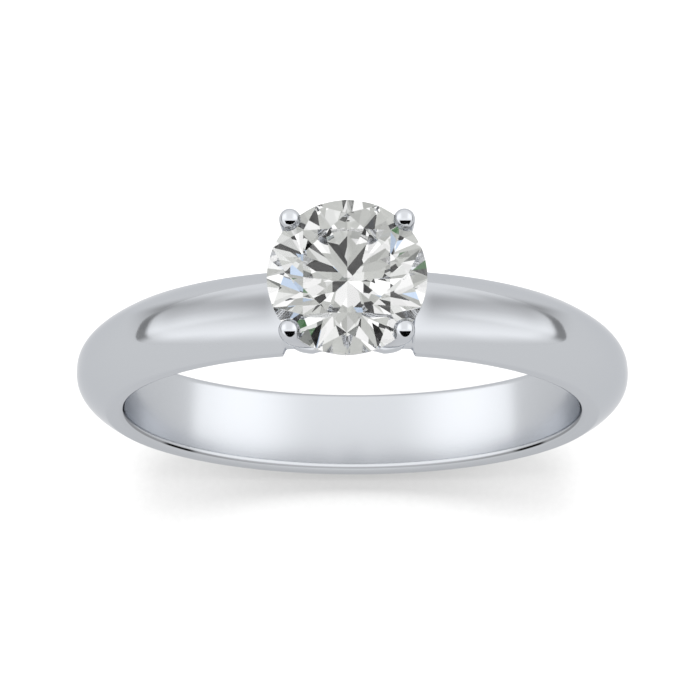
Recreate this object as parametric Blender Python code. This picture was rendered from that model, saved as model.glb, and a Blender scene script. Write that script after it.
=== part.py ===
"""A four-prong solitaire engagement ring, as a goldsmith fabricates it from separate pieces.

Run with: blender --background --python part.py

Frame: metres, +Z up. The origin is the centre of the finger bore, +Y runs along the finger, and
the stone stands over the shank at +Z. Every length below is in millimetres, and MM turns it into
metres where a mesh or a location is made.

Pieces: the shank; a head made of a base plate, a peg, a gallery rail and four prongs; and a round
brilliant stone.
"""

import math

import bmesh
import bpy
from mathutils import Vector

MM = 0.001

# The shank, a domed band with a flat bore and flat side walls.
BORE_RADIUS = 8.65
BAND_HALF_WIDTH = 1.56
CREST_HEIGHT = 1.85
SIDE_WALL_HEIGHT = 0.71
BORE_EDGE_RADIUS = 0.15
DOME_POWER = 2.42
HOOP_STEPS = 80
EDGE_STEPS = 3
DOME_STEPS = 6

# The saddle at the top of the shank, where the head stands.
SEAT_HEIGHT = 1.35
SHOULDER_HALF_GAP = 2.45
WAIST_HALF_LENGTH = 2.27
WAIST_HALF_WIDTH = 1.30

# The round brilliant. Angles are in degrees from the girdle plane, shares are of the radius.
STONE_RADIUS = 2.89
GIRDLE_PLANE_Z = 13.72
GIRDLE_HALF_THICKNESS = 0.08
CROWN_ANGLE = 34.5
PAVILION_ANGLE = 40.75
TABLE_SHARE = 0.585
STAR_SHARE = 0.50
LOWER_HALF_SHARE = 0.77
GIRDLE_SIDES = 64
FACET_FOLD = 8

# The head's base plate: a rounded rectangle whose front and back dip in between the prongs.
PLATE_HALF_X = 2.20
PLATE_HALF_Y = 1.90
PLATE_SQUARENESS = 6.0
PLATE_DIP = 0.12
PLATE_DIP_HALF_LENGTH = 1.30
PLATE_THICKNESS = 0.62
PLATE_EDGE_RADIUS = 0.12
PLATE_STEPS = 48

# The pin that holds the head to the shank.
PEG_RADIUS = 0.75
PEG_SIDES = 28
BORE_CUTTER_SIDES = 160

# The gallery rail, a ring of round wire.
RAIL_Z = 12.50
RAIL_RADIUS = 2.25
RAIL_WIRE_RADIUS = 0.25
RAIL_WIRE_SIDES = 12
RAIL_STEPS = 48

# A prong's centre line, as (distance from the head's axis, height): a leg that leans out from the
# foot and stands nearly upright at the tip.
PRONG_FOOT_SPREAD = 1.98
PRONG_LEAN_POINT = (2.90, 13.00)
PRONG_TIP_POINT = (2.92, 14.12)
PRONG_FOOT_RADIUS = 0.42
PRONG_TIP_RADIUS = 0.39
PRONG_SIDES = 16
PRONG_STEPS = 9
TIP_STEPS = 5
PRONG_TURNS = {
    "prong_back_right": 45,
    "prong_back_left": 135,
    "prong_front_left": 225,
    "prong_front_right": 315,
}

# Pieces that touch on the ring keep this much apart, so that each is a solid of its own.
GAP = 0.02

# How far a cutter reaches past what it cuts, and how close two points count as one.
OVERCUT = 1.0
MERGE_DISTANCE = 1e-4

SEAT_Z = BORE_RADIUS + SEAT_HEIGHT
PLATE_LOW_Z = SEAT_Z + GAP
PLATE_TOP_Z = PLATE_LOW_Z + PLATE_THICKNESS
ABOVE_CREST_Z = BORE_RADIUS + CREST_HEIGHT + OVERCUT


def clear_scene():
    for obj in list(bpy.data.objects):
        bpy.data.objects.remove(obj)


def make_material(name, colour, metallic, roughness):
    material = bpy.data.materials.new(name)
    material.use_nodes = True
    shader = material.node_tree.nodes["Principled BSDF"]
    shader.inputs["Base Color"].default_value = (*colour, 1.0)
    shader.inputs["Metallic"].default_value = metallic
    shader.inputs["Roughness"].default_value = roughness
    return material


def make_white_gold(piece):
    return make_material(f"white_gold_{piece}", (0.86, 0.86, 0.88), 1.0, 0.06)


def make_diamond():
    material = make_material("diamond", (1.0, 1.0, 1.0), 0.0, 0.0)
    shader = material.node_tree.nodes["Principled BSDF"]
    shader.inputs["IOR"].default_value = 2.417
    shader.inputs["Transmission Weight"].default_value = 1.0
    return material


def add_object(name, shape, material, smooth_angle, z=0.0, turn=0.0):
    """One scene object from a closed bmesh in millimetres, raised to z and turned about +Z."""
    bmesh.ops.recalc_face_normals(shape, faces=shape.faces)
    bmesh.ops.scale(shape, vec=(MM, MM, MM), verts=shape.verts)
    mesh = bpy.data.meshes.new(name)
    shape.to_mesh(mesh)
    shape.free()
    mesh.shade_smooth()
    mesh.set_sharp_from_angle(angle=math.radians(smooth_angle))
    if material:
        mesh.materials.append(material)
    obj = bpy.data.objects.new(name, mesh)
    obj.location.z = z * MM
    obj.rotation_euler.z = math.radians(turn)
    bpy.context.scene.collection.objects.link(obj)
    return obj


def add_cutter(name, shape, z=0.0):
    """A shape that only cuts other pieces: it isn't part of the ring."""
    cutter = add_object(name, shape, None, smooth_angle=30, z=z)
    cutter.hide_render = True
    cutter.display_type = "WIRE"
    return cutter


def cut(obj, cutter):
    boolean = obj.modifiers.new(f"cut_{cutter.name}", "BOOLEAN")
    boolean.operation = "DIFFERENCE"
    boolean.solver = "EXACT"
    boolean.object = cutter


def box(low, high):
    """A closed box between two corners."""
    shape = bmesh.new()
    bmesh.ops.create_cube(shape, size=1.0)
    low, high = Vector(low), Vector(high)
    bmesh.ops.scale(shape, vec=high - low, verts=shape.verts)
    bmesh.ops.translate(shape, vec=(low + high) / 2, verts=shape.verts)
    return shape


def prism(outline, low_z, high_z):
    """An outline in the XY plane, extruded upwards."""
    shape = bmesh.new()
    face = shape.faces.new([shape.verts.new((x, y, low_z)) for x, y in outline])
    extruded = bmesh.ops.extrude_face_region(shape, geom=[face], use_keep_orig=True)
    raised = [part for part in extruded["geom"] if isinstance(part, bmesh.types.BMVert)]
    bmesh.ops.translate(shape, vec=(0, 0, high_z - low_z), verts=raised)
    return shape


def upright_cylinder(radius, low_z, high_z, sides):
    shape = bmesh.new()
    bmesh.ops.create_cone(
        shape,
        cap_ends=True,
        segments=sides,
        radius1=radius,
        radius2=radius,
        depth=high_z - low_z,
    )
    bmesh.ops.translate(shape, vec=(0, 0, (low_z + high_z) / 2), verts=shape.verts)
    return shape


def turned_ring(section, axis, steps):
    """A closed section, as points, turned once round an axis through the origin."""
    shape = bmesh.new()
    verts = [shape.verts.new(point) for point in section]
    edges = [shape.edges.new(pair) for pair in zip(verts, verts[1:] + verts[:1])]
    bmesh.ops.spin(
        shape,
        geom=verts + edges,
        cent=(0, 0, 0),
        axis=axis,
        angle=math.tau,
        steps=steps,
        use_merge=True,
    )
    bmesh.ops.remove_doubles(shape, verts=shape.verts, dist=MERGE_DISTANCE)
    return shape


def band_section():
    """The band's section in the plane z = 0: bore, rounded bore edges, side walls and dome."""
    edge_centre_r = BORE_RADIUS + BORE_EDGE_RADIUS
    edge_centre_y = BAND_HALF_WIDTH - BORE_EDGE_RADIUS
    wall_top_r = BORE_RADIUS + SIDE_WALL_HEIGHT
    dome_height = CREST_HEIGHT - SIDE_WALL_HEIGHT
    half = []
    for k in range(EDGE_STEPS + 1):
        turn = math.pi / 2 * k / EDGE_STEPS
        r = edge_centre_r - BORE_EDGE_RADIUS * math.cos(turn)
        y = edge_centre_y + BORE_EDGE_RADIUS * math.sin(turn)
        half.append((r, y, 0.0))
    for k in range(DOME_STEPS):
        share = math.cos(math.pi / 2 * k / DOME_STEPS)
        r = wall_top_r + dome_height * (1 - share**DOME_POWER)
        half.append((r, BAND_HALF_WIDTH * share, 0.0))
    crest = [(BORE_RADIUS + CREST_HEIGHT, 0.0, 0.0)]
    return half + crest + [(r, -y, z) for r, y, z in reversed(half)]


def waist_outline(side):
    """The slice filed off one side of the saddle, with slanted ends at the shoulders."""
    outside = BAND_HALF_WIDTH + OVERCUT
    edge = BAND_HALF_WIDTH + GAP
    outline = [
        (-SHOULDER_HALF_GAP, outside),
        (-SHOULDER_HALF_GAP, edge),
        (-WAIST_HALF_LENGTH, WAIST_HALF_WIDTH),
        (WAIST_HALF_LENGTH, WAIST_HALF_WIDTH),
        (SHOULDER_HALF_GAP, edge),
        (SHOULDER_HALF_GAP, outside),
    ]
    return [(x, side * y) for x, y in outline]


def make_shank():
    hoop = turned_ring(band_section(), (0, 1, 0), HOOP_STEPS)
    shank = add_object("shank", hoop, make_white_gold("shank"), smooth_angle=35)
    seat_half_y = BAND_HALF_WIDTH + OVERCUT
    seat = box(
        (-SHOULDER_HALF_GAP, -seat_half_y, SEAT_Z),
        (SHOULDER_HALF_GAP, seat_half_y, ABOVE_CREST_Z),
    )
    cut(shank, add_cutter("seat_cutter", seat))
    for name, side in (("front", -1), ("back", 1)):
        slice_shape = prism(waist_outline(side), BORE_RADIUS / 2, ABOVE_CREST_Z + OVERCUT)
        cut(shank, add_cutter(f"waist_cutter_{name}", slice_shape))
    hole = upright_cylinder(PEG_RADIUS + GAP, BORE_RADIUS - OVERCUT, ABOVE_CREST_Z, PEG_SIDES)
    cut(shank, add_cutter("shank_hole_cutter", hole))


def plate_outline():
    """A rounded rectangle as a superellipse, its long sides dipping in at the middle."""
    outline = []
    for k in range(PLATE_STEPS):
        turn = math.tau * k / PLATE_STEPS
        c, s = math.cos(turn), math.sin(turn)
        reach = (abs(c) ** PLATE_SQUARENESS + abs(s) ** PLATE_SQUARENESS) ** (-1 / PLATE_SQUARENESS)
        x = PLATE_HALF_X * reach * c
        y = PLATE_HALF_Y * reach * s
        dip = PLATE_DIP * max(0.0, 1 - (x / PLATE_DIP_HALF_LENGTH) ** 2)
        outline.append((x, y * (1 - dip)))
    return outline


def make_head_base():
    shape = prism(plate_outline(), PLATE_LOW_Z, PLATE_TOP_Z)
    level = [e for e in shape.edges if abs(e.verts[0].co.z - e.verts[1].co.z) < MERGE_DISTANCE]
    bmesh.ops.bevel(
        shape,
        geom=level,
        offset=PLATE_EDGE_RADIUS,
        segments=2,
        profile=0.5,
        affect="EDGES",
    )
    plate = add_object("head_base", shape, make_white_gold("head_base"), smooth_angle=50)
    hole = upright_cylinder(PEG_RADIUS + GAP, SEAT_Z - OVERCUT, PLATE_TOP_Z + OVERCUT, PEG_SIDES)
    cut(plate, add_cutter("plate_hole_cutter", hole))


def make_head_peg():
    """The pin, flush with the plate above and with the bore below."""
    shape = upright_cylinder(PEG_RADIUS, BORE_RADIUS - OVERCUT, PLATE_TOP_Z, PEG_SIDES)
    peg = add_object("head_peg", shape, make_white_gold("head_peg"), smooth_angle=35)
    bore = upright_cylinder(BORE_RADIUS, -OVERCUT, OVERCUT, BORE_CUTTER_SIDES)
    cutter = add_cutter("bore_cutter", bore)
    cutter.rotation_euler.x = math.pi / 2
    cut(peg, cutter)


def rail_shape(grow=0.0):
    """A ring of round wire about the origin; grow thickens the wire."""
    wire = RAIL_WIRE_RADIUS + grow
    turns = [math.tau * k / RAIL_WIRE_SIDES for k in range(RAIL_WIRE_SIDES)]
    section = [(RAIL_RADIUS + wire * math.cos(t), 0.0, wire * math.sin(t)) for t in turns]
    return turned_ring(section, (0, 0, 1), RAIL_STEPS)


def make_gallery_rail():
    metal = make_white_gold("gallery_rail")
    add_object("gallery_rail", rail_shape(), metal, smooth_angle=60, z=RAIL_Z)


def prong_circles():
    """The level circles of a prong that leans out along +X, as (distance, height, radius)."""
    foot = (PRONG_FOOT_SPREAD, PLATE_TOP_Z + GAP)
    circles = []
    for k in range(PRONG_STEPS + 1):
        t = k / PRONG_STEPS
        weights = ((1 - t) ** 2, 2 * t * (1 - t), t**2)
        points = (foot, PRONG_LEAN_POINT, PRONG_TIP_POINT)
        distance = sum(w * p[0] for w, p in zip(weights, points))
        height = sum(w * p[1] for w, p in zip(weights, points))
        radius = PRONG_FOOT_RADIUS + (PRONG_TIP_RADIUS - PRONG_FOOT_RADIUS) * t
        circles.append((distance, height, radius))
    for k in range(1, TIP_STEPS):
        turn = math.pi / 2 * k / TIP_STEPS
        height = PRONG_TIP_POINT[1] + PRONG_TIP_RADIUS * math.sin(turn)
        circles.append((PRONG_TIP_POINT[0], height, PRONG_TIP_RADIUS * math.cos(turn)))
    return circles


def prong_shape():
    """A round wire lofted through the prong's circles, with a flat foot and a round tip."""
    shape = bmesh.new()
    rings = []
    for distance, height, radius in prong_circles():
        turns = [math.tau * k / PRONG_SIDES for k in range(PRONG_SIDES)]
        points = [(distance + radius * math.cos(t), radius * math.sin(t), height) for t in turns]
        rings.append([shape.verts.new(point) for point in points])
    for lower, upper in zip(rings, rings[1:]):
        for k in range(PRONG_SIDES):
            j = (k + 1) % PRONG_SIDES
            shape.faces.new((lower[k], lower[j], upper[j], upper[k]))
    shape.faces.new(rings[0])
    apex = shape.verts.new((PRONG_TIP_POINT[0], 0.0, PRONG_TIP_POINT[1] + PRONG_TIP_RADIUS))
    for k in range(PRONG_SIDES):
        shape.faces.new((rings[-1][k], rings[-1][(k + 1) % PRONG_SIDES], apex))
    return shape


def make_prongs():
    """Four prongs, each notched for the gallery rail and for the stone's girdle."""
    rail_cutter = add_cutter("rail_cutter", rail_shape(GAP), z=RAIL_Z)
    stone_cutter = add_cutter("stone_cutter", brilliant_shape(GAP), z=GIRDLE_PLANE_Z)
    for name, turn in PRONG_TURNS.items():
        metal = make_white_gold(name)
        prong = add_object(name, prong_shape(), metal, smooth_angle=50, turn=turn)
        cut(prong, rail_cutter)
        cut(prong, stone_cutter)


def grind(stone, azimuth, angle, distance, height, grow):
    """Grinds one flat facet at an azimuth. Its plane goes through the point at that distance and
    height, and angle is its tilt from the girdle plane, negative below the girdle."""
    outwards = Vector((math.cos(azimuth), math.sin(azimuth), 0.0))
    upwards = Vector((0.0, 0.0, math.copysign(1.0, angle)))
    normal = outwards * math.sin(abs(angle)) + upwards * math.cos(angle)
    on_plane = outwards * distance + Vector((0.0, 0.0, height)) + normal * grow
    result = bmesh.ops.bisect_plane(
        stone,
        geom=stone.verts[:] + stone.edges[:] + stone.faces[:],
        dist=MERGE_DISTANCE / 10,
        plane_co=on_plane,
        plane_no=normal,
        clear_outer=True,
    )
    rim = [part for part in result["geom_cut"] if isinstance(part, bmesh.types.BMEdge)]
    bmesh.ops.contextual_create(stone, geom=rim)


def brilliant_shape(grow=0.0):
    """A round brilliant about the origin, ground facet by facet from a cylinder. The main facets
    lie half a fold off the X axis, so that the table's edges face along X and Y."""
    radius, girdle = STONE_RADIUS, GIRDLE_HALF_THICKNESS
    crown, pavilion = math.radians(CROWN_ANGLE), math.radians(PAVILION_ANGLE)
    fold = math.tau / FACET_FOLD
    half_fold, quarter_fold = fold / 2, fold / 4
    girdle_chord = radius * math.cos(quarter_fold)

    table_z = girdle + radius * (1 - TABLE_SHARE) * math.tan(crown)
    table_edge = radius * TABLE_SHARE * math.cos(half_fold)
    star_tip = table_edge + STAR_SHARE * (radius - table_edge)
    star_tip_z = girdle + (radius - star_tip * math.cos(half_fold)) * math.tan(crown)
    star = math.atan2(table_z - star_tip_z, star_tip - table_edge)
    upper_half_run = (radius - star_tip) * math.cos(quarter_fold)
    upper_half = math.atan2(star_tip_z - girdle, upper_half_run)

    lower_tip = radius * (1 - LOWER_HALF_SHARE)
    lower_tip_depth = (radius - lower_tip * math.cos(half_fold)) * math.tan(pavilion)
    lower_half_run = (radius - lower_tip) * math.cos(quarter_fold)
    lower_half = math.atan2(lower_tip_depth, lower_half_run)

    stone = upright_cylinder(radius + grow, -radius - grow, radius + grow, GIRDLE_SIDES)
    for k in range(FACET_FOLD):
        main = k * fold + half_fold
        grind(stone, main, -pavilion, radius, -girdle, grow)
        grind(stone, main, crown, radius, girdle, grow)
        grind(stone, main + half_fold, star, table_edge, table_z, grow)
        for half in (main - quarter_fold, main + quarter_fold):
            grind(stone, half, upper_half, girdle_chord, girdle, grow)
            grind(stone, half, -lower_half, girdle_chord, -girdle, grow)
    grind(stone, 0.0, 0.0, 0.0, table_z, grow)
    bmesh.ops.remove_doubles(stone, verts=stone.verts, dist=MERGE_DISTANCE * 10)
    return stone


def make_centre_stone():
    shape = brilliant_shape()
    add_object("centre_stone", shape, make_diamond(), smooth_angle=1, z=GIRDLE_PLANE_Z)


def main():
    clear_scene()
    make_shank()
    make_head_base()
    make_head_peg()
    make_gallery_rail()
    make_prongs()
    make_centre_stone()


main()
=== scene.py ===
"""The looks of a four-prong solitaire engagement ring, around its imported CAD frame.

Every length is in millimetres, and MM turns it into metres where a mesh or a place is made. The
frame's origin is the centre of the finger bore, +Y runs along the finger and +Z goes up through
the stone. The ring stands upright on a white sheet, in a light tent.
"""

import math
from functools import partial

import bmesh
import bpy
from mathutils import Matrix, Vector


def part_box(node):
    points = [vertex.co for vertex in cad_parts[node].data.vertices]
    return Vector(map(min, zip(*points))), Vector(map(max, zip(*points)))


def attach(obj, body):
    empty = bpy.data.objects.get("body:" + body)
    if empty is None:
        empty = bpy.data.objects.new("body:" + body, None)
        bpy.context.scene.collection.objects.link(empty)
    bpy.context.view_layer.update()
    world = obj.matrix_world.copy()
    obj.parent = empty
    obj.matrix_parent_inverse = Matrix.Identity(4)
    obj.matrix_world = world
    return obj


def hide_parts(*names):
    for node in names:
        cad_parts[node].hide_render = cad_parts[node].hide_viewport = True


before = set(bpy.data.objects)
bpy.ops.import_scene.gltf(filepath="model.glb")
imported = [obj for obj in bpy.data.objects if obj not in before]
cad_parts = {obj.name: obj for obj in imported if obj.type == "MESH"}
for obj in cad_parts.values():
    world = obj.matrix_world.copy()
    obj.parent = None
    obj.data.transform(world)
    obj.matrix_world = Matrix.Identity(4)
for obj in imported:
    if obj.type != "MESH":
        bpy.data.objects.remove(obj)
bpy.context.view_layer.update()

MM = 0.001


def node_box(node):
    """A CAD node's lowest and highest corners, in millimetres."""
    low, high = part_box(node)
    return low / MM, high / MM


shank_low, shank_high = node_box("shank")
base_low, base_high = node_box("head_base")
rail_low, rail_high = node_box("gallery_rail")
peg_high = node_box("head_peg")[1]
stone_high = node_box("centre_stone")[1]

# The shank: a domed band whose side walls are flat between two rounded edges.
OUTER_RADIUS = shank_high.x
BAND_HALF_WIDTH = shank_high.y
CREST_HEIGHT = 1.85
BORE_RADIUS = OUTER_RADIUS - CREST_HEIGHT
BORE_EDGE_RADIUS = 0.28
SIDE_WALL_HEIGHT = 0.71
WALL_TOP_RADIUS = BORE_RADIUS + SIDE_WALL_HEIGHT
WALL_EDGE_LENGTH = 0.05
DOME_POWER = 2.42
HOOP_STEPS = 360
SHOULDER_STEPS = 40
EDGE_STEPS = 7
DOME_STEPS = 22

# The saddle at the top of the shank, with softened ends.
GAP = 0.02
SEAT_Z = base_low.z - GAP
SHOULDER_HALF_GAP = 2.45
SHOULDER_SOFTNESS = 0.10
SHOULDER_MARGIN = 0.20
WAIST_HALF_LENGTH = 2.27
WAIST_SHARE = 1.30 / BAND_HALF_WIDTH

# The stone: a round brilliant. Angles are in degrees from the girdle plane.
STONE_RADIUS = stone_high.x
TABLE_SHARE = 0.585
STAR_SHARE = 0.50
LOWER_HALF_SHARE = 0.77
CROWN_ANGLE = 34.5
PAVILION_ANGLE = 40.75
GIRDLE_HALF_THICKNESS = 0.08
GIRDLE_SIDES = 192
FACET_FOLD = 8
CROWN_HEIGHT = STONE_RADIUS * (1 - TABLE_SHARE) * math.tan(math.radians(CROWN_ANGLE))
GIRDLE_PLANE_Z = stone_high.z - CROWN_HEIGHT - GIRDLE_HALF_THICKNESS

# The head.
PLATE_HALF_X = base_high.x
PLATE_HALF_Y = 1.90
PLATE_SQUARENESS = 6.0
PLATE_DIP = 0.12
PLATE_DIP_HALF_LENGTH = 1.30
PLATE_EDGE_RADIUS = 0.12
PLATE_EDGE_STEPS = 6
PLATE_STEPS = 200
PEG_RADIUS = peg_high.x
PEG_SIDES = 96
BORE_CUTTER_SIDES = 720
RAIL_Z = (rail_low.z + rail_high.z) / 2
RAIL_WIRE_RADIUS = (rail_high.z - rail_low.z) / 2
RAIL_RADIUS = rail_high.x - RAIL_WIRE_RADIUS
RAIL_WIRE_SIDES = 32
RAIL_STEPS = 160

# A prong's centre line, as (distance from the head's axis, height).
PRONG_FOOT_POINT = (1.98, base_high.z + GAP)
PRONG_LEAN_POINT = (2.90, 13.00)
PRONG_TIP_POINT = (2.92, 14.12)
PRONG_FOOT_RADIUS = 0.42
PRONG_TIP_RADIUS = 0.39
PRONG_SIDES = 48
PRONG_STEPS = 36
TIP_STEPS = 16
PRONG_TURNS = {
    "prong_back_right": 45,
    "prong_back_left": 135,
    "prong_front_left": 225,
    "prong_front_right": 315,
}

OVERCUT = 1.0
MERGE_DISTANCE = 1e-4

# The finishes. Each band of roughness runs from its smoothest to its roughest, and the bore's satin
# gives way to polish between two distances from the bore's surface. Noise values lie mostly in
# NOISE_BAND.
NOISE_BAND = (0.3, 0.7)
POLISH_SCALE = 350.0
GRAIN_SCALE = 9000.0
GRAIN_BUMP_STRENGTH = 0.02
GRAIN_BUMP_DISTANCE = 0.00002
WHITE_GOLD = (0.525, 0.541, 0.567, 1.0)
WHITE_GOLD_SHEEN = (0.80, 0.81, 0.83, 1.0)
POLISH_ROUGHNESS = (0.055, 0.085)
SATIN_ROUGHNESS = 0.22
SATIN_FADE = (0.02, 0.06)
DIAMOND_IOR = 2.417
DIAMOND_SHEEN = (0.25, 0.25, 0.25, 1.0)
GIRDLE_ROUGHNESS = (0.25, 0.45)
GIRDLE_GRAIN_SCALE = 12000.0
GIRDLE_SLOPE = 0.05

# The camera looks steeply down on the ring from far off, aimed just above the bore's centre.
CAMERA_ELEVATION = math.radians(75.1)
CAMERA_AZIMUTH = math.radians(0.13)
CAMERA_ROLL = math.radians(-0.79)
CAMERA_DISTANCE = 239.7
CAMERA_LENS = 323.5
CAMERA_SENSOR = 36.0
CAMERA_CLIP_START = 1.0
AIM_UP = 0.967
AIM_LEFT = 0.089

# The white sheet that the ring stands on glows. What the camera sees of it glows less and catches
# more light than what the ring mirrors, so that its shadows are short and its whites are clean.
SHEET_LOW = (-120.0, -250.0)
SHEET_HIGH = (120.0, 100.0)
SHEET_GLOW = 0.68
SHEET_WHITE = 0.14
SHEET_SHOWN_GLOW = 0.26
SHEET_SHOWN_WHITE = 0.47
PAPER_GRAIN_SCALE = 4000.0
PAPER_GRAIN_SHADES = (0.98, 1.02)
SUN_DIRECTION = (0.0, 0.19, 0.98)
SUN_ANGLE = math.radians(34.0)
SUN_STRENGTH = 3.0
LIGHT_BOUNCES = 24
GLOSSY_BOUNCES = 8

# A grey flag hangs over each shoulder and shades the crest of the band. Each follows the band by
# its angle from the top, as far out as the light off the crest travels in FLAG_REACH. It is
# thickest along a line that drifts towards the back of the band, and it thins out to its edges.
FLAG_REACH = 2.0
FLAG_START = math.radians(12.0)
FLAG_END = math.radians(54.0)
FLAG_START_FADE = 0.10
FLAG_END_FADE = 0.27
FLAG_BACK_SHARE = 0.52
FLAG_FRONT_SHARE = -0.62
FLAG_LINE_ANGLE = math.radians(19.5)
FLAG_LINE_SHARE = 0.12
FLAG_LINE_DRIFT = 0.46
FLAG_WIDTH = 0.75
FLAG_THICKNESS = 0.55
FLAG_STEPS = (48, 32)

# The mottled surround that the stone alone sees is a pattern of cells, taken at this place in it.
# A cell's number, between 0 and 1, picks its tone: the last one that starts at or below it.
STONE_SURROUND_SHIFT = (7.3, 2.1, 5.5)
STONE_CELL_SCALE = 3.2
STONE_CLOUD_SCALE = 9.0
STONE_CLOUD_SHADES = (0.78, 1.16)
STONE_TONES = (
    (0.00, (0.01, 0.01, 0.01)),
    (0.12, (0.06, 0.06, 0.06)),
    (0.22, (0.19, 0.20, 0.19)),
    (0.34, (0.50, 0.51, 0.49)),
    (0.50, (0.72, 0.73, 0.72)),
    (0.70, (1.00, 1.00, 1.00)),
    (0.93, (0.54, 0.66, 0.84)),
    (0.955, (0.22, 0.34, 0.52)),
    (0.975, (0.08, 0.18, 0.08)),
)

# Black card close to the metal. Light off the metal gets to it after CARD_REACH, and it shows only
# in what is nearer to it than CARD_SIGHT.
CARD_REACH = 0.9
CARD_SIGHT = 1.3
CARD_BLACK = (0.003, 0.003, 0.003, 1.0)

# A half-moon of card by each prong's round tip gives the tip a dark spot. Its outline is drawn on
# the tip, in shares of the tip's radius to the right and up, as the camera sees it.
TIP_SPOT_MIDDLE = 0.08
TIP_SPOT_HALF_WIDTH = 0.54
TIP_SPOT_TOP = -0.13
TIP_SPOT_DEPTH = 0.54
TIP_SPOT_ROUNDNESS = 0.75
TIP_CARD_STEPS = (24, 8)

# A dark tape along the near edge of the bore draws a line on that rounded edge, where the edge is
# tilted from facing the front towards facing the bore by TAPE_TILTS. It is smoky, with four black
# stretches. Its other angles are in degrees round the bore, from the ring's lowest point.
TAPE_TILTS = (math.radians(40.0), math.radians(64.0))
TAPE_END_ANGLE = 104.0
TAPE_END_FADE = 6.0
TAPE_SMOKE = 0.45
TAPE_BLACK_ANGLES = (52.0, 97.0)
TAPE_BLACK_HALF_LENGTH = 7.5
TAPE_STEPS = (208, 8)

# Meshes


def smoothstep(share):
    share = min(1.0, max(0.0, share))
    return share * share * (3 - 2 * share)


def add_mesh(name, shape, materials, smooth_angle, turn=0.0):
    """An object from a bmesh in millimetres, turned about +Z by turn degrees."""
    bmesh.ops.recalc_face_normals(shape, faces=shape.faces)
    bmesh.ops.scale(shape, vec=(MM, MM, MM), verts=shape.verts)
    bmesh.ops.rotate(
        shape, cent=(0, 0, 0), matrix=Matrix.Rotation(math.radians(turn), 3, "Z"), verts=shape.verts
    )
    mesh = bpy.data.meshes.new(name)
    shape.to_mesh(mesh)
    shape.free()
    mesh.shade_smooth()
    mesh.set_sharp_from_angle(angle=math.radians(smooth_angle))
    for material in materials:
        mesh.materials.append(material)
    obj = bpy.data.objects.new(name, mesh)
    bpy.context.scene.collection.objects.link(obj)
    return obj


def stand_for(piece, node):
    """A fine piece takes a CAD node's place and rides the ring's only body."""
    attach(piece, "root")
    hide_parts(node)


def cut(obj, shape, smooth_angle):
    """Cuts a closed shape, in millimetres, out of an object, and leaves no modifier behind."""
    cutter = add_mesh("cutter", shape, [], smooth_angle=30)
    boolean = obj.modifiers.new("cut", "BOOLEAN")
    boolean.operation = "DIFFERENCE"
    boolean.solver = "EXACT"
    boolean.object = cutter
    uncut = obj.data
    evaluated = obj.evaluated_get(bpy.context.evaluated_depsgraph_get())
    obj.data = bpy.data.meshes.new_from_object(evaluated)
    obj.data.set_sharp_from_angle(angle=math.radians(smooth_angle))
    obj.modifiers.clear()
    bpy.data.meshes.remove(uncut)
    bpy.data.objects.remove(cutter)


def upright_cylinder(radius, low_z, high_z, sides):
    shape = bmesh.new()
    bmesh.ops.create_cone(
        shape, cap_ends=True, segments=sides, radius1=radius, radius2=radius, depth=high_z - low_z
    )
    bmesh.ops.translate(shape, vec=(0, 0, (low_z + high_z) / 2), verts=shape.verts)
    return shape


def bore_cylinder():
    """The finger's space, as a cylinder along Y."""
    shape = upright_cylinder(BORE_RADIUS, -OVERCUT, OVERCUT, BORE_CUTTER_SIDES)
    bmesh.ops.rotate(
        shape, cent=(0, 0, 0), matrix=Matrix.Rotation(math.pi / 2, 3, "X"), verts=shape.verts
    )
    return shape


def bridge_loops(shape, loops, closed):
    """Quads between each loop of points and the next, and round to the first if closed."""
    rings = [[shape.verts.new(point) for point in loop] for loop in loops]
    following = rings[1:] + rings[:1] if closed else rings[1:]
    for ring, after in zip(rings, following):
        for k in range(len(ring)):
            j = (k + 1) % len(ring)
            shape.faces.new((ring[k], ring[j], after[j], after[k]))
    return rings


def dome_radius(share):
    """The dome's distance from the bore's axis, at a share of the band's half width."""
    return WALL_TOP_RADIUS + (OUTER_RADIUS - WALL_TOP_RADIUS) * (1 - abs(share) ** DOME_POWER)


def band_section():
    """The band's section as (radius, distance along the finger), closed by the bore's line."""
    edge_r = BORE_RADIUS + BORE_EDGE_RADIUS
    edge_y = BAND_HALF_WIDTH - BORE_EDGE_RADIUS
    half = []
    for k in range(EDGE_STEPS + 1):
        turn = math.pi / 2 * k / EDGE_STEPS
        radius = edge_r - BORE_EDGE_RADIUS * math.cos(turn)
        half.append((radius, edge_y + BORE_EDGE_RADIUS * math.sin(turn)))
    rounded_share = 1 - WALL_EDGE_LENGTH / (2 * BAND_HALF_WIDTH)
    corner = (
        (WALL_TOP_RADIUS - WALL_EDGE_LENGTH, BAND_HALF_WIDTH),
        (WALL_TOP_RADIUS, BAND_HALF_WIDTH),
        (dome_radius(rounded_share), BAND_HALF_WIDTH * rounded_share),
    )
    for k in range(EDGE_STEPS):
        t = k / EDGE_STEPS
        weights = ((1 - t) ** 2, 2 * t * (1 - t), t**2)
        half.append(tuple(sum(w * p[i] for w, p in zip(weights, corner)) for i in (0, 1)))
    for k in range(DOME_STEPS):
        share = rounded_share * math.cos(math.pi / 2 * k / DOME_STEPS)
        half.append((dome_radius(share), BAND_HALF_WIDTH * share))
    return half + [(OUTER_RADIUS, 0.0)] + [(r, -y) for r, y in reversed(half)]


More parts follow.
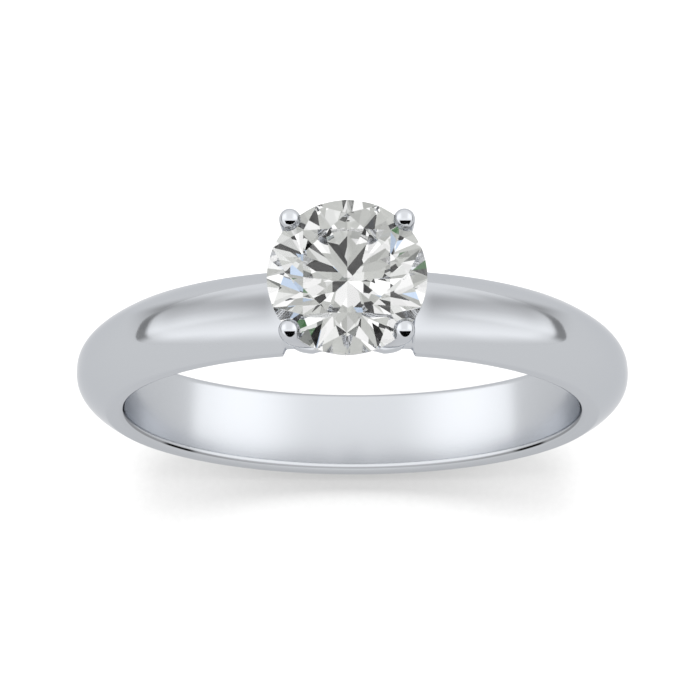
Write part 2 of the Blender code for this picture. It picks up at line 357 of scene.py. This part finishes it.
def hoop_angles():
    """Angles from the top, evenly round the hoop and closer together at the two shoulders."""
    shoulder_low = math.asin((WAIST_HALF_LENGTH - SHOULDER_MARGIN) / OUTER_RADIUS)
    shoulder_high = math.asin((SHOULDER_HALF_GAP + SHOULDER_MARGIN) / WALL_TOP_RADIUS)
    even = [math.tau * k / HOOP_STEPS for k in range(HOOP_STEPS)]
    fine = []
    for k in range(SHOULDER_STEPS + 1):
        angle = shoulder_low + (shoulder_high - shoulder_low) * k / SHOULDER_STEPS
        fine += [angle, math.tau - angle]
    kept = [a for a in even if not shoulder_low < min(a, math.tau - a) < shoulder_high]
    return sorted(kept + fine)


def shank_point(radius, y, angle):
    """A point of the band, lowered to the seat and pinched in at the waist near the top."""
    x = radius * math.sin(angle)
    if math.cos(angle) > 0:
        if radius * math.cos(angle) > SEAT_Z:
            depth = smoothstep((SHOULDER_HALF_GAP - abs(x)) / SHOULDER_SOFTNESS)
            radius += (SEAT_Z / math.cos(angle) - radius) * depth
        pinch = smoothstep((SHOULDER_HALF_GAP - abs(x)) / (SHOULDER_HALF_GAP - WAIST_HALF_LENGTH))
        y *= 1 - (1 - WAIST_SHARE) * pinch
    return radius * math.sin(angle), y, radius * math.cos(angle)


def make_shank(metal):
    shape = bmesh.new()
    section = band_section()
    loops = [[shank_point(r, y, angle) for r, y in section] for angle in hoop_angles()]
    bridge_loops(shape, loops, closed=True)
    shank = add_mesh("ring_shank", shape, [metal], smooth_angle=40)
    hole = upright_cylinder(PEG_RADIUS + GAP, BORE_RADIUS - OVERCUT, OUTER_RADIUS + OVERCUT, PEG_SIDES)
    cut(shank, hole, smooth_angle=40)
    stand_for(shank, "shank")


def plate_outline(inset):
    """A rounded rectangle as a superellipse, its long sides dipping in at the middle."""
    outline = []
    for k in range(PLATE_STEPS):
        turn = math.tau * k / PLATE_STEPS
        c, s = math.cos(turn), math.sin(turn)
        reach = (abs(c) ** PLATE_SQUARENESS + abs(s) ** PLATE_SQUARENESS) ** (-1 / PLATE_SQUARENESS)
        x = (PLATE_HALF_X - inset) * reach * c
        y = (PLATE_HALF_Y - inset) * reach * s
        dip = PLATE_DIP * max(0.0, 1 - (x / PLATE_DIP_HALF_LENGTH) ** 2)
        outline.append((x, y * (1 - dip)))
    return outline


def make_head_base(metal):
    """The plate under the prongs, with rounded edges and the peg's hole."""
    shape = bmesh.new()
    loops = []
    for level, side in ((base_low.z, 1), (base_high.z, -1)):
        turns = [math.pi / 2 * k / PLATE_EDGE_STEPS for k in range(PLATE_EDGE_STEPS + 1)]
        for turn in turns if side > 0 else reversed(turns):
            inset = PLATE_EDGE_RADIUS * (1 - math.sin(turn))
            z = level + side * PLATE_EDGE_RADIUS * (1 - math.cos(turn))
            loops.append([(x, y, z) for x, y in plate_outline(inset)])
    rings = bridge_loops(shape, loops, closed=False)
    shape.faces.new(rings[0])
    shape.faces.new(rings[-1])
    plate = add_mesh("head_base_plate", shape, [metal], smooth_angle=50)
    hole = upright_cylinder(PEG_RADIUS + GAP, SEAT_Z - OVERCUT, base_high.z + OVERCUT, PEG_SIDES)
    cut(plate, hole, smooth_angle=50)
    stand_for(plate, "head_base")


def make_head_peg(metal):
    """The pin, flush with the plate above and with the bore below."""
    shape = upright_cylinder(PEG_RADIUS, BORE_RADIUS - OVERCUT, base_high.z, PEG_SIDES)
    peg = add_mesh("head_pin", shape, [metal], smooth_angle=40)
    cut(peg, bore_cylinder(), smooth_angle=40)
    stand_for(peg, "head_peg")


def rail_shape(grow=0.0):
    """The gallery rail, a ring of round wire; grow thickens the wire."""
    shape = bmesh.new()
    wire = RAIL_WIRE_RADIUS + grow
    loops = []
    for k in range(RAIL_STEPS):
        turn = math.tau * k / RAIL_STEPS
        loop = []
        for j in range(RAIL_WIRE_SIDES):
            around = math.tau * j / RAIL_WIRE_SIDES
            distance = RAIL_RADIUS + wire * math.cos(around)
            z = RAIL_Z + wire * math.sin(around)
            loop.append((distance * math.cos(turn), distance * math.sin(turn), z))
        loops.append(loop)
    bridge_loops(shape, loops, closed=True)
    bmesh.ops.recalc_face_normals(shape, faces=shape.faces)
    return shape


def make_gallery_rail(metal):
    rail = add_mesh("gallery_wire", rail_shape(), [metal], smooth_angle=60)
    stand_for(rail, "gallery_rail")


def prong_shape():
    """A round wire that leans out along +X, with a flat foot and a round tip."""
    shape = bmesh.new()
    circles = []
    for k in range(PRONG_STEPS + 1):
        t = k / PRONG_STEPS
        weights = ((1 - t) ** 2, 2 * t * (1 - t), t**2)
        points = (PRONG_FOOT_POINT, PRONG_LEAN_POINT, PRONG_TIP_POINT)
        distance, height = (sum(w * p[i] for w, p in zip(weights, points)) for i in (0, 1))
        radius = PRONG_FOOT_RADIUS + (PRONG_TIP_RADIUS - PRONG_FOOT_RADIUS) * t
        circles.append((distance, height, radius))
    for k in range(1, TIP_STEPS):
        turn = math.pi / 2 * k / TIP_STEPS
        height = PRONG_TIP_POINT[1] + PRONG_TIP_RADIUS * math.sin(turn)
        circles.append((PRONG_TIP_POINT[0], height, PRONG_TIP_RADIUS * math.cos(turn)))
    turns = [math.tau * k / PRONG_SIDES for k in range(PRONG_SIDES)]
    loops = [[(d + r * math.cos(t), r * math.sin(t), z) for t in turns] for d, z, r in circles]
    rings = bridge_loops(shape, loops, closed=False)
    shape.faces.new(rings[0])
    apex = shape.verts.new((PRONG_TIP_POINT[0], 0.0, PRONG_TIP_POINT[1] + PRONG_TIP_RADIUS))
    for k in range(PRONG_SIDES):
        shape.faces.new((rings[-1][k], rings[-1][(k + 1) % PRONG_SIDES], apex))
    return shape


def make_prongs(metal):
    """Four prongs, each notched for the gallery rail and for the stone's girdle."""
    for node, turn in PRONG_TURNS.items():
        prong = add_mesh(node.replace("prong", "claw"), prong_shape(), [metal], 45, turn)
        cut(prong, rail_shape(GAP / 2), smooth_angle=45)
        cut(prong, brilliant_shape(GAP / 2), smooth_angle=45)
        stand_for(prong, node)


def grind(stone, azimuth, angle, distance, height, grow):
    """Grinds one flat facet at an azimuth. Its plane goes through the point at that distance and
    height, and angle is its tilt from the girdle plane, negative below the girdle."""
    outwards = Vector((math.cos(azimuth), math.sin(azimuth), 0.0))
    upwards = Vector((0.0, 0.0, math.copysign(1.0, angle)))
    normal = outwards * math.sin(abs(angle)) + upwards * math.cos(angle)
    result = bmesh.ops.bisect_plane(
        stone,
        geom=stone.verts[:] + stone.edges[:] + stone.faces[:],
        dist=MERGE_DISTANCE / 10,
        plane_co=outwards * distance + Vector((0.0, 0.0, height)) + normal * grow,
        plane_no=normal,
        clear_outer=True,
    )
    rim = [part for part in result["geom_cut"] if isinstance(part, bmesh.types.BMEdge)]
    bmesh.ops.contextual_create(stone, geom=rim)


def brilliant_shape(grow=0.0):
    """A round brilliant, ground facet by facet from a cylinder. The main facets lie half a fold
    off the X axis, so that the table's edges face along X and Y."""
    radius, girdle = STONE_RADIUS, GIRDLE_HALF_THICKNESS
    crown, pavilion = math.radians(CROWN_ANGLE), math.radians(PAVILION_ANGLE)
    fold = math.tau / FACET_FOLD
    half_fold, quarter_fold = fold / 2, fold / 4
    girdle_chord = radius * math.cos(quarter_fold)

    table_z = girdle + CROWN_HEIGHT
    table_edge = radius * TABLE_SHARE * math.cos(half_fold)
    star_tip = table_edge + STAR_SHARE * (radius - table_edge)
    star_tip_z = girdle + (radius - star_tip * math.cos(half_fold)) * math.tan(crown)
    star = math.atan2(table_z - star_tip_z, star_tip - table_edge)
    upper_half_run = (radius - star_tip) * math.cos(quarter_fold)
    upper_half = math.atan2(star_tip_z - girdle, upper_half_run)

    lower_tip = radius * (1 - LOWER_HALF_SHARE)
    lower_tip_depth = (radius - lower_tip * math.cos(half_fold)) * math.tan(pavilion)
    lower_half_run = (radius - lower_tip) * math.cos(quarter_fold)
    lower_half = math.atan2(lower_tip_depth, lower_half_run)

    stone = upright_cylinder(radius + grow, -radius - grow, radius + grow, GIRDLE_SIDES)
    for k in range(FACET_FOLD):
        main = k * fold + half_fold
        grind(stone, main, -pavilion, radius, -girdle, grow)
        grind(stone, main, crown, radius, girdle, grow)
        grind(stone, main + half_fold, star, table_edge, table_z, grow)
        for half in (main - quarter_fold, main + quarter_fold):
            grind(stone, half, upper_half, girdle_chord, girdle, grow)
            grind(stone, half, -lower_half, girdle_chord, -girdle, grow)
    grind(stone, 0.0, 0.0, 0.0, table_z, grow)
    bmesh.ops.remove_doubles(stone, verts=stone.verts, dist=MERGE_DISTANCE * 10)
    bmesh.ops.translate(stone, vec=(0, 0, GIRDLE_PLANE_Z), verts=stone.verts)
    return stone


def make_stone(diamond, girdle):
    """The brilliant, its upright girdle faces in a finish of their own."""
    shape = brilliant_shape()
    shape.normal_update()
    for face in shape.faces:
        face.material_index = 1 if abs(face.normal.z) < GIRDLE_SLOPE else 0
    stone = add_mesh("round_brilliant", shape, [diamond, girdle], smooth_angle=2.5)
    stand_for(stone, "centre_stone")


# Materials and light


class Graph:
    """A node tree with short ways to add the nodes that the materials and the world use."""

    def __init__(self, tree):
        self.tree = tree

    def add(self, kind, inputs=(), **settings):
        node = self.tree.nodes.new(kind)
        for name, value in settings.items():
            setattr(node, name, value)
        for key, value in dict(inputs).items():
            self.feed(node.inputs[key], value)
        return node

    def feed(self, socket, value):
        if isinstance(value, bpy.types.NodeSocket):
            self.tree.links.new(value, socket)
        else:
            socket.default_value = value

    def math(self, operation, first, second=0.0):
        return self.add("ShaderNodeMath", {0: first, 1: second}, operation=operation).outputs[0]

    def ramp(self, value, start, end, low=0.0, high=1.0):
        """Smooth steps from low at start to high at end."""
        inputs = {"Value": value, 1: start, 2: end, 3: low, 4: high}
        return self.add("ShaderNodeMapRange", inputs, interpolation_type="SMOOTHSTEP").outputs[0]

    def inside(self, value, low, high, soft):
        """1 where value lies between low and high, with soft sides."""
        rising = self.ramp(value, low - soft, low + soft)
        falling = self.ramp(value, high - soft, high + soft, 1.0, 0.0)
        return self.math("MULTIPLY", rising, falling)

    def blend(self, share, first, second):
        """One number goes over into another."""
        node = self.add("ShaderNodeMix", {0: share, 2: first, 3: second})
        return node.outputs[0]

    def tint(self, share, first, second):
        """One colour goes over into another."""
        node = self.add("ShaderNodeMix", data_type="RGBA")
        self.feed(node.inputs["Factor"], share)
        self.feed(node.inputs[6], first)
        self.feed(node.inputs[7], second)
        return node.outputs[2]


def new_material(name):
    material = bpy.data.materials.new(name)
    material.use_nodes = True
    return Graph(material.node_tree), material, material.node_tree.nodes["Principled BSDF"]


def make_white_gold():
    """Polished white gold, with a very fine grain and a polish that varies a little. The bore,
    which a polishing wheel reaches less well, keeps a softer satin."""
    graph, material, shader = new_material("white_gold")
    place = graph.add("ShaderNodeTexCoord").outputs["Object"]
    broad = graph.add("ShaderNodeTexNoise", {"Vector": place, "Scale": POLISH_SCALE, "Detail": 3.0})
    grain = graph.add("ShaderNodeTexNoise", {"Vector": place, "Scale": GRAIN_SCALE, "Detail": 4.0})
    polish = graph.ramp(broad.outputs[0], *NOISE_BAND, *POLISH_ROUGHNESS)
    x, _, z = graph.add("ShaderNodeSeparateXYZ", {0: place}).outputs
    across = graph.add("ShaderNodeCombineXYZ", {0: x, 2: z}).outputs[0]
    distance = graph.add("ShaderNodeVectorMath", {0: across}, operation="LENGTH").outputs["Value"]
    satin_end, polish_start = ((BORE_RADIUS + fade) * MM for fade in SATIN_FADE)
    in_bore = graph.ramp(distance, satin_end, polish_start, 1.0, 0.0)
    bump = graph.add("ShaderNodeBump", {"Height": grain.outputs[0]})
    bump.inputs["Strength"].default_value = GRAIN_BUMP_STRENGTH
    bump.inputs["Distance"].default_value = GRAIN_BUMP_DISTANCE
    shader.inputs["Base Color"].default_value = WHITE_GOLD
    shader.inputs["Metallic"].default_value = 1.0
    shader.inputs["Specular Tint"].default_value = WHITE_GOLD_SHEEN
    graph.feed(shader.inputs["Roughness"], graph.blend(in_bore, polish, SATIN_ROUGHNESS))
    graph.feed(shader.inputs["Normal"], bump.outputs[0])
    return material


def make_diamond():
    _, material, shader = new_material("diamond")
    shader.inputs["Base Color"].default_value = (1.0, 1.0, 1.0, 1.0)
    shader.inputs["Roughness"].default_value = 0.0
    shader.inputs["IOR"].default_value = DIAMOND_IOR
    shader.inputs["Specular Tint"].default_value = DIAMOND_SHEEN
    shader.inputs["Transmission Weight"].default_value = 1.0
    return material


def make_girdle():
    """The girdle's ground surface, frosted with a fine grain."""
    graph, material, shader = new_material("diamond_girdle")
    place = graph.add("ShaderNodeTexCoord").outputs["Object"]
    inputs = {"Vector": place, "Scale": GIRDLE_GRAIN_SCALE, "Detail": 3.0}
    grain = graph.add("ShaderNodeTexNoise", inputs).outputs[0]
    graph.feed(shader.inputs["Roughness"], graph.ramp(grain, *NOISE_BAND, *GIRDLE_ROUGHNESS))
    shader.inputs["IOR"].default_value = DIAMOND_IOR
    shader.inputs["Transmission Weight"].default_value = 1.0
    return material


def make_sheet():
    """The white sheet under the ring, with a faint paper grain."""
    graph, material, shader = new_material("white_sheet")
    place = graph.add("ShaderNodeTexCoord").outputs["Object"]
    inputs = {"Vector": place, "Scale": PAPER_GRAIN_SCALE, "Detail": 2.0}
    grain = graph.add("ShaderNodeTexNoise", inputs).outputs[0]
    shown = graph.add("ShaderNodeLightPath").outputs["Is Camera Ray"]
    white = graph.blend(shown, SHEET_WHITE, SHEET_SHOWN_WHITE)
    white = graph.math("MULTIPLY", white, graph.ramp(grain, 0.2, 0.8, *PAPER_GRAIN_SHADES))
    graph.feed(shader.inputs["Base Color"], white)
    shader.inputs["Roughness"].default_value = 1.0
    shader.inputs["Emission Color"].default_value = (1.0, 1.0, 1.0, 1.0)
    graph.feed(shader.inputs["Emission Strength"], graph.blend(shown, SHEET_GLOW, SHEET_SHOWN_GLOW))
    shader.inputs["Specular IOR Level"].default_value = 0.0
    shape = bmesh.new()
    (x0, y0), (x1, y1), z = SHEET_LOW, SHEET_HIGH, shank_low.z
    shape.faces.new([shape.verts.new(p) for p in ((x0, y0, z), (x1, y0, z), (x1, y1, z), (x0, y1, z))])
    add_mesh("sheet", shape, [material], smooth_angle=30)


def studio_glow(graph, x, y, z):
    """What polished metal sees: a bright tent, brightest at both sides, with a softbox in front
    that fades towards the horizon, and a dark gap along the horizon at the sides."""
    sideways = graph.math("ABSOLUTE", x)
    roof = graph.ramp(sideways, 0.33, 0.80, 1.38, 1.85)
    low_side = graph.ramp(z, -0.18, 0.08, 1.05, 1.70)
    low_wall = graph.blend(graph.ramp(sideways, 0.60, 0.90), 1.25, low_side)
    wall = graph.blend(graph.ramp(z, 0.10, 0.40), low_wall, roof)
    top_ahead = graph.ramp(sideways, 0.45, 0.65, 0.42, 0.30)
    top = graph.blend(graph.ramp(sideways, 0.70, 0.92), top_ahead, 0.15)
    softbox = graph.ramp(z, -0.14, top, 1.0, 1.53)
    forward = graph.math("ADD", y, graph.math("MULTIPLY", z, 0.10))
    glow = graph.blend(graph.ramp(forward, 0.10, -0.20), wall, softbox)
    below = graph.inside(z, -0.22, -0.04, 0.03)
    beside = graph.math("MULTIPLY", graph.ramp(sideways, 0.75, 0.97), graph.ramp(y, -0.35, -0.05))
    return graph.blend(graph.math("MULTIPLY", below, beside), glow, 0.40)


def stone_glow(graph, direction):
    """What the light inside the stone escapes to: a studio full of bright and dark things, with
    soft shading across each."""
    moved = graph.add("ShaderNodeVectorMath", {0: direction, 1: STONE_SURROUND_SHIFT}).outputs[0]
    cells = graph.add("ShaderNodeTexVoronoi", {"Vector": moved, "Scale": STONE_CELL_SCALE})
    cell = graph.add("ShaderNodeSeparateColor", {0: cells.outputs["Color"]}).outputs[0]
    ramp = graph.add("ShaderNodeValToRGB", {0: cell})
    ramp.color_ramp.interpolation = "CONSTANT"
    elements = ramp.color_ramp.elements
    while len(elements) < len(STONE_TONES):
        elements.new(0.5)
    for element, (position, colour) in zip(elements, STONE_TONES):
        element.position = position
        element.color = (*colour, 1.0)
    inputs = {"Vector": moved, "Scale": STONE_CLOUD_SCALE, "Detail": 1.0}
    clouds = graph.add("ShaderNodeTexNoise", inputs).outputs[0]
    shade = graph.ramp(clouds, 0.35, 0.65, *STONE_CLOUD_SHADES)
    shaded = graph.add("ShaderNodeVectorMath", {0: ramp.outputs[0]}, operation="SCALE")
    graph.feed(shaded.inputs["Scale"], shade)
    return shaded.outputs[0]


def make_tent():
    """The light tent. The metal and the stone each see their own surround, as in a picture put
    together from two exposures, and what lies behind the ring stays plain white."""
    world = bpy.data.worlds.new("tent")
    bpy.context.scene.world = world
    world.use_nodes = True
    world.node_tree.nodes.clear()
    graph = Graph(world.node_tree)
    direction = graph.add("ShaderNodeTexCoord").outputs["Generated"]
    x, y, z = graph.add("ShaderNodeSeparateXYZ", {0: direction}).outputs
    metal = graph.add("ShaderNodeVectorMath", {0: (1.0, 1.0, 1.0)}, operation="SCALE")
    graph.feed(metal.inputs["Scale"], studio_glow(graph, x, y, z))
    path = graph.add("ShaderNodeLightPath")
    seen = graph.tint(path.outputs["Is Transmission Ray"], metal.outputs[0], stone_glow(graph, direction))
    shown = graph.tint(path.outputs["Is Camera Ray"], seen, (1.0, 1.0, 1.0, 1.0))
    background = graph.add("ShaderNodeBackground", {"Color": shown})
    output = graph.add("ShaderNodeOutputWorld")
    graph.feed(output.inputs["Surface"], background.outputs[0])


def camera_direction():
    """From the ring towards the camera, before the camera's roll."""
    return Vector(
        (
            math.sin(CAMERA_AZIMUTH) * math.cos(CAMERA_ELEVATION),
            -math.cos(CAMERA_AZIMUTH) * math.cos(CAMERA_ELEVATION),
            math.sin(CAMERA_ELEVATION),
        )
    )


def camera_axes():
    """The camera's right, up and back, before its roll."""
    towards = camera_direction()
    right = Vector((math.cos(CAMERA_AZIMUTH), math.sin(CAMERA_AZIMUTH), 0.0))
    return right, towards.cross(right), towards


def bounce(place, normal, reach):
    """Where light from the camera's side gets to after it leaves a polished surface."""
    towards = camera_direction()
    return place + reach * (2 * normal.dot(towards) * normal - towards)


def make_black(name, sight=None):
    """Black stuff for a screen. With a sight, it shows only in what is nearer to it than that."""
    graph, material, shader = new_material(name)
    shader.inputs["Base Color"].default_value = CARD_BLACK
    shader.inputs["Roughness"].default_value = 1.0
    shader.inputs["Specular IOR Level"].default_value = 0.0
    held_back = graph.add("ShaderNodeAttribute", attribute_name="held_back").outputs["Fac"]
    if sight is not None:
        distance = graph.add("ShaderNodeLightPath").outputs["Ray Length"]
        near = graph.math("LESS_THAN", distance, sight * MM)
        held_back = graph.math("MULTIPLY", near, held_back)
    graph.feed(shader.inputs["Alpha"], held_back)
    return material


def make_screen(name, material, steps, point, thickness):
    """A curved screen that only mirror-like surfaces see. Two functions of how far along and
    across it a point lies, from 0 to 1, give its place and the share of light it holds back."""
    shape = bmesh.new()
    held_back = shape.verts.layers.float.new("held_back")
    along_steps, across_steps = steps
    rows = []
    for k in range(along_steps + 1):
        row = []
        for j in range(across_steps + 1):
            along, across = k / along_steps, j / across_steps
            vert = shape.verts.new(point(along, across))
            vert[held_back] = thickness(along, across)
            row.append(vert)
        rows.append(row)
    for row, after in zip(rows, rows[1:]):
        for j in range(across_steps):
            shape.faces.new((row[j], row[j + 1], after[j + 1], after[j]))
    screen = add_mesh(name, shape, [material], smooth_angle=180)
    screen.visible_camera = False
    screen.visible_diffuse = False
    screen.visible_transmission = False
    screen.visible_shadow = False


def dome_normal(share, angle):
    """The way the dome faces, at a share of the half width and an angle from the top."""
    rise = OUTER_RADIUS - WALL_TOP_RADIUS
    slope = rise * DOME_POWER * abs(share) ** (DOME_POWER - 1) / BAND_HALF_WIDTH
    sideways = math.copysign(slope, share)
    return Vector((math.sin(angle), sideways, math.cos(angle))).normalized()


def flag_spot(along, across):
    """The angle from the top and the share of the half width that a flag's point stands over."""
    angle = FLAG_START + (FLAG_END - FLAG_START) * along
    share = FLAG_FRONT_SHARE + (FLAG_BACK_SHARE - FLAG_FRONT_SHARE) * across
    return angle, share


def flag_point(side, along, across):
    angle, share = flag_spot(along, across)
    angle *= side
    radius = dome_radius(share)
    place = Vector((radius * math.sin(angle), BAND_HALF_WIDTH * share, radius * math.cos(angle)))
    return bounce(place, dome_normal(share, angle), FLAG_REACH)


def flag_thickness(along, across):
    angle, share = flag_spot(along, across)
    start = smoothstep((angle - FLAG_START) / FLAG_START_FADE)
    end = smoothstep((FLAG_END - angle) / FLAG_END_FADE)
    line = FLAG_LINE_SHARE + FLAG_LINE_DRIFT * (angle - FLAG_LINE_ANGLE)
    if share > line:
        sides = smoothstep((FLAG_BACK_SHARE - share) / (FLAG_BACK_SHARE - line))
    else:
        sides = smoothstep((share - line + FLAG_WIDTH) / FLAG_WIDTH)
    return FLAG_THICKNESS * start * end * sides


def make_flags():
    """The two flags, of grey gauze."""
    gauze = make_black("gauze")
    for side in (-1, 1):
        make_screen("flag", gauze, FLAG_STEPS, partial(flag_point, side), flag_thickness)


def tip_card_point(tip, along, across):
    """Along runs over the half-moon's width, and across from its straight top to its curved foot.
    A point that would lie in the stone is lifted just above its table."""
    right, up, towards = camera_axes()
    share = 2 * along - 1
    depth = across * max(0.0, 1 - share * share) ** TIP_SPOT_ROUNDNESS
    u = TIP_SPOT_MIDDLE + TIP_SPOT_HALF_WIDTH * share
    v = TIP_SPOT_TOP - TIP_SPOT_DEPTH * depth
    normal = right * u + up * v + towards * math.sqrt(1 - u * u - v * v)
    point = bounce(tip + normal * PRONG_TIP_RADIUS, normal, CARD_REACH)
    if math.hypot(point.x, point.y) < STONE_RADIUS:
        point.z = max(point.z, stone_high.z + GAP)
    return point


def tip_card_thickness(along, across):
    return 1.0


def make_tip_cards(card):
    distance, height = PRONG_TIP_POINT
    for turn in PRONG_TURNS.values():
        around = math.radians(turn)
        tip = Vector((distance * math.cos(around), distance * math.sin(around), height))
        make_screen("card", card, TIP_CARD_STEPS, partial(tip_card_point, tip), tip_card_thickness)


def tape_point(along, across):
    """Along runs round the bore's near edge, and across over its rounding."""
    angle = math.radians(TAPE_END_ANGLE) * (2 * along - 1)
    low, high = TAPE_TILTS
    tilt = low + (high - low) * across
    outwards = Vector((math.sin(angle), 0.0, -math.cos(angle)))
    normal = Vector((0.0, -math.cos(tilt), 0.0)) - outwards * math.sin(tilt)
    middle = outwards * (BORE_RADIUS + BORE_EDGE_RADIUS)
    middle.y = BORE_EDGE_RADIUS - BAND_HALF_WIDTH
    return bounce(middle + normal * BORE_EDGE_RADIUS, normal, CARD_REACH)


def tape_thickness(along, across):
    angle = TAPE_END_ANGLE * abs(2 * along - 1)
    away = min(abs(angle - black) for black in TAPE_BLACK_ANGLES)
    black = smoothstep(2 - 2 * away / TAPE_BLACK_HALF_LENGTH)
    end = smoothstep((TAPE_END_ANGLE - angle) / TAPE_END_FADE)
    sides = smoothstep(4 * across) * smoothstep(4 * (1 - across))
    return (TAPE_SMOKE + (1 - TAPE_SMOKE) * black) * end * sides


def make_sun():
    """A soft sun, high and a little behind, for the shadow in front of the ring."""
    lamp = bpy.data.lights.new("sun", "SUN")
    lamp.energy = SUN_STRENGTH
    lamp.angle = SUN_ANGLE
    sun = bpy.data.objects.new("sun", lamp)
    sun.rotation_euler = Vector(SUN_DIRECTION).to_track_quat("Z", "Y").to_euler()
    sun.visible_glossy = False
    sun.visible_transmission = False
    bpy.context.scene.collection.objects.link(sun)


def make_camera():
    axes = Matrix(camera_axes()).transposed()
    axes = Matrix.Rotation(-CAMERA_ROLL, 3, "Y") @ axes
    right, up, towards = axes.col
    aim = up * AIM_UP - right * AIM_LEFT
    place = towards * CAMERA_DISTANCE
    data = bpy.data.cameras.new("camera")
    data.lens = CAMERA_LENS
    data.sensor_width = CAMERA_SENSOR
    data.clip_start = CAMERA_CLIP_START * MM
    camera = bpy.data.objects.new("camera", data)
    camera.location = place * MM
    back = (place - aim).normalized()
    side = up.cross(back).normalized()
    camera.rotation_euler = Matrix((side, back.cross(side), back)).transposed().to_euler()
    bpy.context.scene.collection.objects.link(camera)
    bpy.context.scene.camera = camera


def set_look():
    """Whites stay white, and light has the bounces that a brilliant needs."""
    scene = bpy.context.scene
    scene.view_settings.view_transform = "Standard"
    scene.cycles.max_bounces = LIGHT_BOUNCES
    scene.cycles.transmission_bounces = LIGHT_BOUNCES
    scene.cycles.glossy_bounces = GLOSSY_BOUNCES
    scene.cycles.caustics_reflective = False
    scene.cycles.caustics_refractive = False


def main():
    make_camera()
    white_gold = make_white_gold()
    make_shank(white_gold)
    make_head_base(white_gold)
    make_head_peg(white_gold)
    make_gallery_rail(white_gold)
    make_prongs(white_gold)
    make_stone(make_diamond(), make_girdle())
    make_sheet()
    make_tent()
    make_sun()
    make_flags()
    card = make_black("black_card", CARD_SIGHT)
    make_tip_cards(card)
    make_screen("tape", card, TAPE_STEPS, tape_point, tape_thickness)
    set_look()
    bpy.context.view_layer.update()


main()
